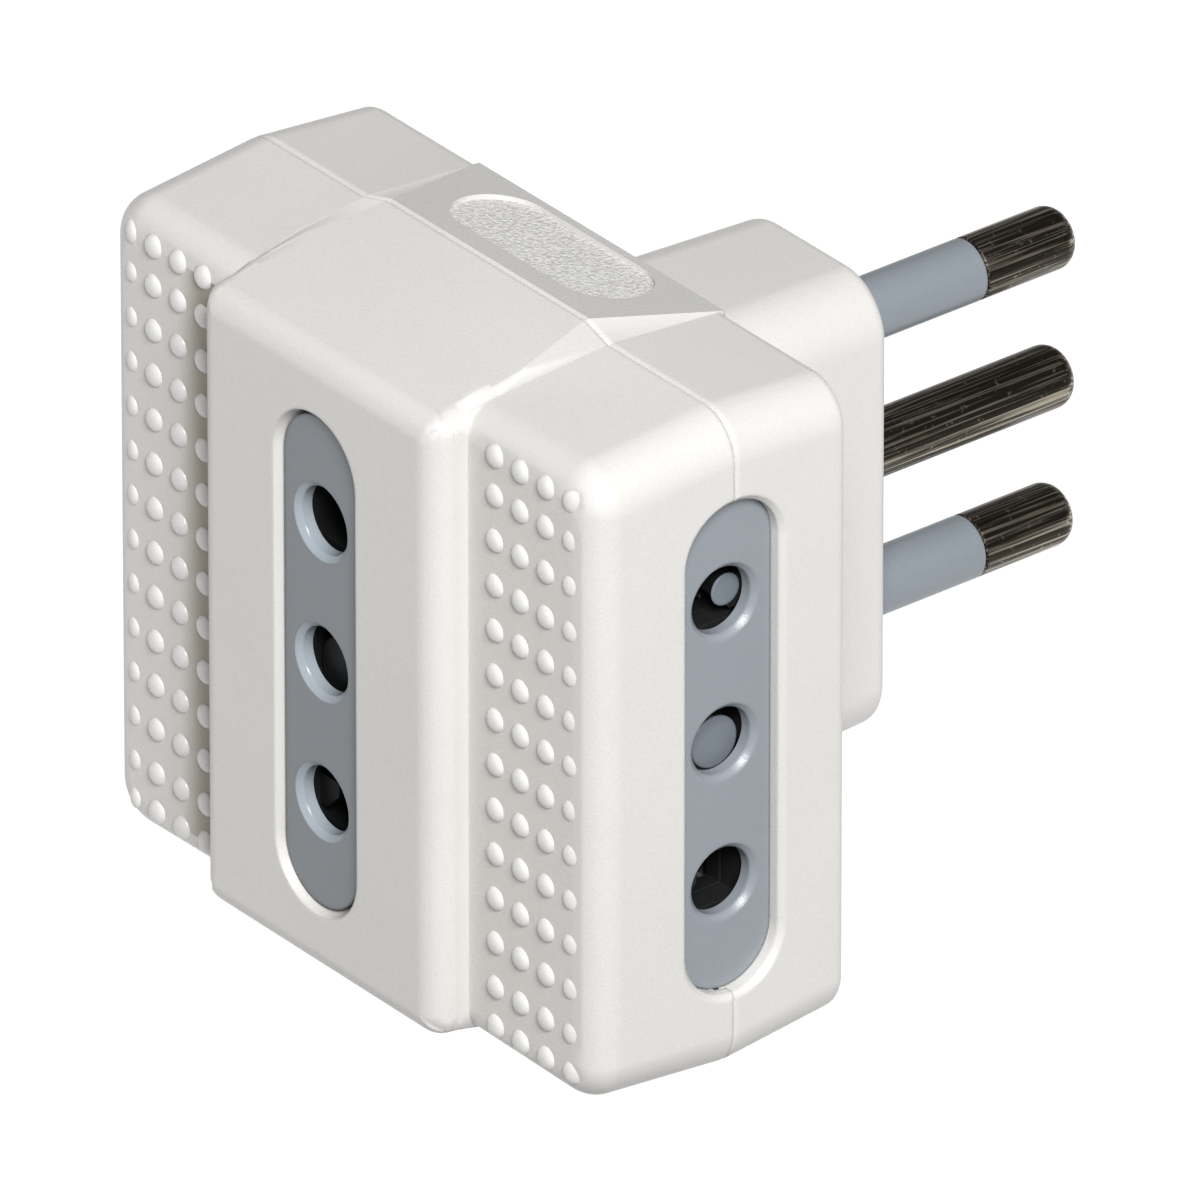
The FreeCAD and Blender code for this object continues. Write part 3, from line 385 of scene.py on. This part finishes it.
def round_corners(bm, radius=1.6, lean=0.155, fade=5.0, cuts=8):
    """Turn the mitred front corners of the raised block into round ones, seen from the front.

    They are fully round at the wings' face and before it, and fade into mitred ones over
    some millimetres behind it. Lean is how fast the block's top rises to the seam.
    """
    across = BLOCK_SIDE - radius
    up = BLOCK_TOP - radius
    slack = 0.01

    def on_block(face, limit):
        return min(v.co.y for v in face.verts) < limit * MM and abs(face.calc_center_median().x) < 12.0 * MM

    for depth in (0.0, fade / 4, fade / 2, fade):
        cut(bm, (0, DOT_FACE + depth, 0), (0, 1, 0), lambda f: on_block(f, DOT_FACE + depth))
    for side in (1, -1):
        for end in (1, -1):
            def at_corner(face):
                return max(v.co.y for v in face.verts) < (DOT_FACE + fade + slack) * MM \
                    and abs(face.calc_center_median().x) < 11.8 * MM \
                    and max(side * v.co.x for v in face.verts) > (across - slack) * MM \
                    and max(end * v.co.z for v in face.verts) > (up - 0.5) * MM
            for step in range(cuts + 1):
                turn = math.radians(90 / cuts * step)
                cut(bm, (side * across, DOT_FACE, end * up),
                    (side * math.sin(turn), lean * math.cos(turn), -end * math.cos(turn)), at_corner)
    # each corner is a square that is pressed into a quarter of a circle
    for vert in bm.verts:
        x, y, z = vert.co / MM
        weight = 1.0 - max(0.0, y - DOT_FACE) / fade
        dx, dz = abs(x) - across, abs(z) - (up + lean * (y - DOT_FACE))
        if weight <= 0 or abs(x) > 11.6 or min(dx, dz) <= 1e-4:
            continue
        ratio = 1 + weight * (max(dx, dz) / math.hypot(dx, dz) - 1)
        vert.co.x -= math.copysign(dx * (1 - ratio), x) * MM
        vert.co.z -= math.copysign(dz * (1 - ratio), z) * MM


def front_look(bm):
    without_dots(bm)
    round_corners(bm)


def fall(x, start=20.2, radius=2.2):
    """How far the rounded outer edge of a wing falls back behind its flat face."""
    beyond = min(radius - 0.1, max(0.0, abs(x) - start))
    return radius - math.sqrt(radius ** 2 - beyond ** 2)


# Rows and columns of the domes on a wing; the end rows stand a little closer.
ROW_PITCH = 3.03
INNER_ROWS = 12
END_ROW = 19.3
FIRST_COLUMN = 13.85
COLUMN_PITCH = 2.385
COLUMNS = 4


def dome(bm, x, z, share, steps=24):
    """One low dome, from its top to a foot that is sunk in the wing's face; share lowers it."""
    profile = [(0.36, 0.0), (0.35, 0.2), (0.315, 0.38), (0.25, 0.54), (0.165, 0.66), (0.075, 0.74),
               (0.0, 0.78), (-0.95, 0.8)]

    def spot(rise, radius, turn):
        beside = x + radius * math.cos(turn)
        return beside, DOT_FACE + fall(beside) - share * rise, z + radius * math.sin(turn)

    revolved(bm, profile, steps, spot)


def grip_dots():
    """Low domes in straight rows on both wings."""
    heights = [(i - (INNER_ROWS - 1) / 2) * ROW_PITCH for i in range(INNER_ROWS)] + [END_ROW, -END_ROW]
    bm = bmesh.new()
    for side in (1, -1):
        for column in range(COLUMNS):
            # the outermost column sits on the rounding of the wing, so it is lower and follows it
            share = 0.85 if column == COLUMNS - 1 else 1.0
            for z in heights:
                dome(bm, side * (FIRST_COLUMN + COLUMN_PITCH * column), z, share)
    bmesh.ops.recalc_face_normals(bm, faces=bm.faces)
    # the domes get a paler colour as painted light
    piece = as_object("grip_dots", mesh_from(bm, "grip_dots"), PAINTED_LIGHT_DOMES)
    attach(piece, ROOT)


# The block's top falls from the seam to the back face, and a thumb patch is sunk in it.
SLOPE = math.atan2(BLOCK_SEAM - SEAM_HEIGHT + REAR_DROP, REAR_DEPTH)
PARALLEL = 0.9995


def ramp_depth(face):
    """How deep a face lies under the slope behind the seam, or None off it."""
    side = 1 if face.normal.z > 0 else -1
    normal = Vector((0, math.sin(SLOPE), side * math.cos(SLOPE)))
    if face.normal.dot(normal) < PARALLEL:
        return None
    return -normal.dot(face.calc_center_median() - Vector((0, SEAM * MM, side * BLOCK_SEAM * MM))) / MM


def without_ramps(bm):
    """Take off the ramps and thumb patches, which are pieces of their own."""
    on_slope = [f for f in bm.faces if ramp_depth(f) is not None]
    bmesh.ops.delete(bm, geom=on_slope, context="FACES")


def only(bm, depth, slack=0.06):
    """Keep just the faces on the slope that lie at a given depth."""
    others = [f for f in bm.faces if ramp_depth(f) is None or abs(ramp_depth(f) - depth) > slack]
    bmesh.ops.delete(bm, geom=others, context="FACES")


def slope_piece(name, depth, material):
    """The rear shell's faces at one depth under the slope, with their own finish."""
    mesh = surface_of("rear_shell", lambda bm: only(bm, depth))
    piece = as_object(name, mesh, material)
    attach(piece, ROOT)


def accent(piece, material, chosen):
    """Give the chosen faces of a piece another finish."""
    piece.data.materials.append(material)
    for face in piece.data.polygons:
        if chosen(face.center / MM, face.normal):
            face.material_index = len(piece.data.materials) - 1


def on_ground(middle, normal):
    """True on the flat faces of the wings that carry the domes."""
    return normal.y < -0.999 and abs(middle.y - DOT_FACE) < 0.03 and abs(middle.x) > 11.0


def on_lip(middle, normal):
    """True on the rims and walls of the three long openings, which face their middle lines."""
    if middle.y < BLOCK_FACE + 2.5 and abs(middle.x) < 8.0:
        across, lean = middle.x, normal.x
    elif abs(middle.x) > 20.5 and abs(middle.y - SEAM) < 8.0:
        across, lean = middle.y - SEAM, normal.y
    else:
        return False
    beyond = middle.z - max(-LIP_LINE, min(LIP_LINE, middle.z))
    distance = math.hypot(across, beyond)
    facing = -(across * lean + beyond * normal.z) / max(distance, 0.01)
    return 4.0 < distance < 6.4 and facing > 0.3


def on_shoulder(middle, normal):
    """True on the long triangles that lead from the raised block down to the wings."""
    return 0.15 < abs(normal.x) < 0.6 and abs(normal.z) > 0.7 and 8.0 < abs(middle.x) < 14.0 \
        and abs(middle.z) > 20.5 and DOT_FACE < middle.y < SEAM + 9.0


front = skin("front_shell", HOUSING, front_look)
accent(front, GROUND, on_ground)
# painted highlight: the lips and walls of the openings are whiter
accent(front, GLOSSY_HIGHLIGHT_RIM, on_lip)
# painted light: the shoulders are paler
accent(front, PAINTED_LIGHT_SHOULDER, on_shoulder)
rear = skin("rear_shell", HOUSING, without_ramps)
# the same painted highlight on the rear shell's lips
accent(rear, GLOSSY_HIGHLIGHT_RIM, on_lip)
# the same painted light on the rear shell's shoulders
accent(rear, PAINTED_LIGHT_SHOULDER, on_shoulder)
# the ramps get a greyer colour as painted shade
slope_piece("thumb_ramps", 0.0, PAINTED_SHADE_RAMP)
slope_piece("thumb_patches", PATCH_SINK, GRIP)
grip_dots()

# Socket plates and their sliders

def behind_plate(face, spot):
    """True for an insert's faces that lie behind its plate with the holes."""
    middle = face.calc_center_median() / MM
    depth = middle.y - FRONT_PLATE if spot == "front" else SIDE_PLATE - abs(middle.x)
    return depth > 1.0


def tray_inside(spot):
    """The part of an insert that is seen only through its holes."""
    name = spot + "_socket_insert"

    def keep(bm):
        outer = [f for f in bm.faces if not behind_plate(f, spot)]
        bmesh.ops.delete(bm, geom=outer, context="FACES")

    # painted shade: what lies behind the plate is near black
    piece = as_object(spot + "_tray_inside", surface_of(name, keep), PAINTED_SHADE_BLACK)
    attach(piece, ROOT)


# Pale faces on the side shutters: place across, height and radius.
BUTTONS = {"disc": (0.62, -0.93, 1.7), "stud": (1.45, 9.1, 1.05)}


def button(spot, kind, thickness=0.1, bevel=0.05, steps=40):
    """Pale face of a side shutter's disc or stud, just before the dark shutter."""
    across, height, radius = BUTTONS[kind]
    side = 1 if spot == "right" else -1
    profile = [(SHUTTER_FACE - 0.005, radius), (SHUTTER_FACE - bevel, radius),
               (SHUTTER_FACE - thickness, radius - bevel)]
    bm = bmesh.new()
    rings = revolved(bm, profile, steps, lambda depth, reach, turn: (
        side * (SIDE_PLATE - depth), SEAM + side * (across + reach * math.cos(turn)),
        height + reach * math.sin(turn)))
    bm.faces.new(rings[-1])
    bmesh.ops.recalc_face_normals(bm, faces=bm.faces)
    mesh = mesh_from(bm, "%s_shutter_%s" % (spot, kind))
    piece = as_object(mesh.name, mesh, SHUTTER)
    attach(piece, frame_body(spot + "_shutter"))


def plate_only(bm, spot):
    """Leave just the plate of an insert; tray_inside makes the rest."""
    inner = [f for f in bm.faces if behind_plate(f, spot)]
    bmesh.ops.delete(bm, geom=inner, context="FACES")


def on_hole(middle, normal, reach=2.7):
    """True on the walls and rims of the round holes of the front plate."""
    distances = [math.hypot(middle.x, middle.z - height) for height in POLES.values()]
    return abs(normal.y) < 0.98 and min(distances) < reach


for spot in ("front", "right", "left"):
    # painted shade: the front plate gets a darker copy of the side plates' colour
    finish = PAINTED_SHADE_INSERT if spot == "front" else INSERT
    plate = skin(spot + "_socket_insert", finish, lambda bm: plate_only(bm, spot))
    if spot == "front":
        # painted highlight on the walls and rims of the front holes
        accent(plate, PAINTED_HIGHLIGHT_HOLE_RIM, on_hole)
    tray_inside(spot)
    # painted shade: the shutters are near black, though their acetal is mid-grey
    skin(spot + "_shutter", PAINTED_SHADE_BLACK)
    if spot != "front":
        for kind in BUTTONS:
            button(spot, kind)

# Plug pins

# Places along Y: the collar sits behind the plug's end wall, the rivet in a strip's lug.
PIN_LENGTH = 19.0
SLEEVE_LENGTH = 11.8
END_WALL = -3.0
COLLAR = END_WALL - 1.2
LUG = SEAM + 8.0
LUG_BACK = LUG + 0.8
HEAD = LUG - 0.7
# Radii of the turned pieces.
PIN_RADIUS = 2.0
CORE_RADIUS = 1.5
SEAT_RADIUS = 2.3
COLLAR_RADIUS = 2.8
NECK_RADIUS = 1.6
RIVET_RADIUS = 1.2
HEAD_RADIUS = 1.7
TIP_RADIUS = 1.15


def pin_outline(sleeved):
    """A pin from its rivet head, through its collar, to its round tip."""
    rivet = [(HEAD, 0.0), (HEAD, HEAD_RADIUS - 0.2), (HEAD + 0.2, HEAD_RADIUS), (LUG, HEAD_RADIUS),
             (LUG, RIVET_RADIUS), (LUG_BACK, RIVET_RADIUS), (LUG_BACK, NECK_RADIUS)]
    collar = [(COLLAR, NECK_RADIUS), (COLLAR, COLLAR_RADIUS), (END_WALL, COLLAR_RADIUS)]
    if sleeved:
        shaft = [(END_WALL, CORE_RADIUS), (SLEEVE_LENGTH, CORE_RADIUS), (SLEEVE_LENGTH, PIN_RADIUS - 0.1),
                 (SLEEVE_LENGTH + 0.1, PIN_RADIUS)]
    else:
        shaft = [(END_WALL, SEAT_RADIUS), (0.0, SEAT_RADIUS), (0.0, PIN_RADIUS)]
    tip = arc((PIN_LENGTH - TIP_RADIUS, PIN_RADIUS - TIP_RADIUS), TIP_RADIUS, 90, 0, 10)
    return rivet + collar + shaft + tip + [(PIN_LENGTH, 0.0)]


def sleeve_outline(rounding=0.23):
    """An insulating sleeve from its seat in the end wall to its rounded mouth."""
    mouth = SLEEVE_LENGTH - 0.25
    seat = [(END_WALL, CORE_RADIUS), (END_WALL, SEAT_RADIUS), (0.0, SEAT_RADIUS), (0.0, PIN_RADIUS)]
    lip = [(mouth, PIN_RADIUS)] + arc((mouth, PIN_RADIUS - rounding), rounding, 90, 20, 4)
    return seat + lip + [(SLEEVE_LENGTH, CORE_RADIUS + 0.1), (SLEEVE_LENGTH, CORE_RADIUS)]


for pole, height in POLES.items():
    sleeved = pole != "earth"
    if sleeved:
        turned(pole + "_sleeve_look", sleeve_outline(), height, SLEEVE, pole + "_pin_sleeve")
    turned(pole + "_pin_look", pin_outline(sleeved), height, PIN, pole + "_pin")

# Hidden parts keep their CAD shape: the metal ones get their real metal, and the guide plates get the trays'
# near-black painted shade.
HIDDEN = {"_clip": BRASS, "_bus_strip": BRASS, "_spring": STEEL, "_guide_plate": PAINTED_SHADE_BLACK}
for name, thing in frame["nodes"].items():
    for ending, finish in HIDDEN.items():
        if name.endswith(ending):
            thing.data.materials.clear()
            thing.data.materials.append(finish)


# Camera, light and floor

def camera():
    """Far camera that looks down on the front right corner, as in the photo."""
    turn, tilt = math.radians(51.304), math.radians(29.578)
    distance = 1.951
    aside, raised = 0.006624, -0.0001855
    right = Vector((math.cos(turn), math.sin(turn), 0))
    ahead = Vector((-math.sin(turn) * math.cos(tilt), math.cos(turn) * math.cos(tilt), -math.sin(tilt)))
    up = right.cross(ahead)
    data = bpy.data.cameras.new("camera")
    data.sensor_width = 36.0
    data.lens = 987.3
    data.clip_start = 0.1
    data.clip_end = 20.0
    made = bpy.data.objects.new("camera", data)
    bpy.context.scene.collection.objects.link(made)
    place = Vector((0, SEAM * MM, 0)) + right * aside + up * raised - ahead * distance
    made.matrix_world = Matrix.Translation(place) @ Matrix((right, up, -ahead)).transposed().to_4x4()
    bpy.context.scene.camera = made


def key_light():
    """One round softbox near the part, to the right of the camera's line and steeper than it."""
    data = bpy.data.lights.new("key", "AREA")
    data.shape = "DISK"
    data.size = 0.3
    data.energy = 8.1
    made = bpy.data.objects.new("key", data)
    bpy.context.scene.collection.objects.link(made)
    place, target = Vector((0.504, -0.302, 0.489)), Vector((0, -0.025, 0))
    aim = (place - target).to_track_quat("Z", "Y").to_matrix().to_4x4()
    made.matrix_world = Matrix.Translation(place) @ aim


def floor_board():
    """Board that glows white behind the part and is dimmer on the key light's side."""
    bm = bmesh.new()
    bmesh.ops.create_grid(bm, x_segments=1, y_segments=1, size=3.0)
    material = new_material("floor_white_board")
    place = node(material, "TexCoord").outputs["Object"]
    away = node(material, "VectorMath", {0: place, 1: (-0.78, 0.625, 0.0)}, operation="DOT_PRODUCT")
    glow = node(material, "MapRange", {0: away.outputs["Value"], "From Min": -0.06, "From Max": 0.012,
                                       "To Min": 0.25, "To Max": 1.0}, interpolation_type="SMOOTHSTEP")
    surface = node(material, "BsdfPrincipled", {
        "Roughness": 0.9, "Base Color": grey(0.08), "Emission Color": grey(1.0),
        "Emission Strength": glow.outputs[0]})
    node(material, "OutputMaterial", {"Surface": surface.outputs[0]})
    floor = as_object("floor", mesh_from(bm, "floor"), material, smooth=False)
    floor.location = (0, 0, -0.06)


def studio():
    """Dim, slightly warm room light, the key light and the floor."""
    world = bpy.data.worlds.new("studio")
    world.use_nodes = True
    background = world.node_tree.nodes["Background"]
    background.inputs["Color"].default_value = (1.0, 0.995, 0.985, 1.0)
    background.inputs["Strength"].default_value = 0.25
    bpy.context.scene.world = world
    key_light()
    floor_board()
    bpy.context.scene.view_settings.view_transform = "Standard"


camera()
studio()
